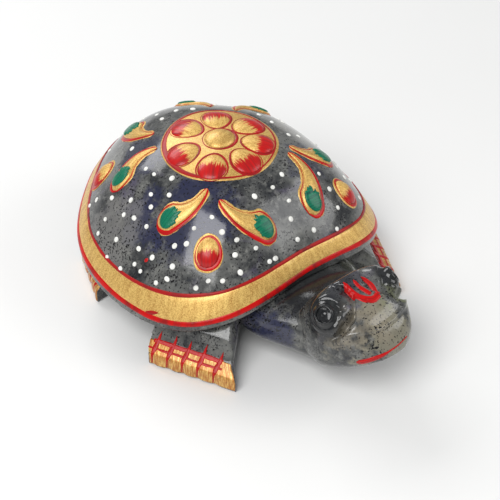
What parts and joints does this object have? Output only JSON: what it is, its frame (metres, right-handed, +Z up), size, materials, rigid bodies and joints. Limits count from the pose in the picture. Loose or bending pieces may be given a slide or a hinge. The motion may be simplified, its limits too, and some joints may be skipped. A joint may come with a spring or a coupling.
{
  "type": "turtle figurine",
  "caption": "Small carved and polished stone tortoise with raised gold, red and green painted flower, leaves, rim band and gilded toes.",
  "frame": {"origin": "on the table, under the middle of the outer box", "axes": "+Z up; the head points to -Y; the tortoise's left side is +X"},
  "size_m": [0.0592, 0.0854, 0.0332],
  "materials": {
    "stone": "polished",
    "gold_paint": "metallic satin",
    "red_paint": "glossy",
    "green_paint": "glossy",
    "white_paint": "glossy",
    "gold_red_relief": "metallic satin"
  },
  "bodies": {
    "root": {"carved_stone": "stone", "drop_front_left": "gold_red_relief", "drop_front_left_outline": "red_paint", "drop_front_right": "gold_red_relief", "drop_front_right_outline": "red_paint", "drop_rear_left": "gold_red_relief", "drop_rear_left_outline": "red_paint", "drop_rear_right": "gold_red_relief", "drop_rear_right_outline": "red_paint", "end_leaf_front_left": "gold_paint", "end_leaf_front_left_bulb": "green_paint", "end_leaf_front_left_outline": "red_paint", "end_leaf_front_right": "gold_paint", "end_leaf_front_right_bulb": "green_paint", "end_leaf_front_right_outline": "red_paint", "end_leaf_rear_left": "gold_paint", "end_leaf_rear_left_bulb": "green_paint", "end_leaf_rear_left_outline": "red_paint", "end_leaf_rear_right": "gold_paint", "end_leaf_rear_right_bulb": "green_paint", "end_leaf_rear_right_outline": "red_paint", "forehead_mark": "red_paint", "gilding_front_left": "gold_paint", "gilding_front_right": "gold_paint", "gilding_rear_left": "gold_paint", "gilding_rear_right": "gold_paint", "medallion_boss": "gold_paint", "medallion_boss_outline": "red_paint", "medallion_gold_disc": "gold_paint", "medallion_red_ring": "red_paint", "mouth_line": "red_paint", "petal_1": "gold_red_relief", "petal_2": "gold_red_relief", "petal_3": "gold_red_relief", "petal_4": "gold_red_relief", "petal_5": "gold_red_relief", "petal_6": "gold_red_relief", "petal_7": "gold_red_relief", "petal_outlines": "red_paint", "rim_gold_band": "gold_paint", "rim_lower_line": "red_paint", "rim_upper_line": "red_paint", "side_leaf_front_left": "gold_paint", "side_leaf_front_left_bulb": "green_paint", "side_leaf_front_left_outline": "red_paint", "side_leaf_front_right": "gold_paint", "side_leaf_front_right_bulb": "green_paint", "side_leaf_front_right_outline": "red_paint", "side_leaf_rear_left": "gold_paint", "side_leaf_rear_left_bulb": "green_paint", "side_leaf_rear_left_outline": "red_paint", "side_leaf_rear_right": "gold_paint", "side_leaf_rear_right_bulb": "green_paint", "side_leaf_rear_right_outline": "red_paint", "toe_lines_front_left": "red_paint", "toe_lines_front_right": "red_paint", "toe_lines_rear_left": "red_paint", "toe_lines_rear_right": "red_paint"}
  },
  "joints": []
}
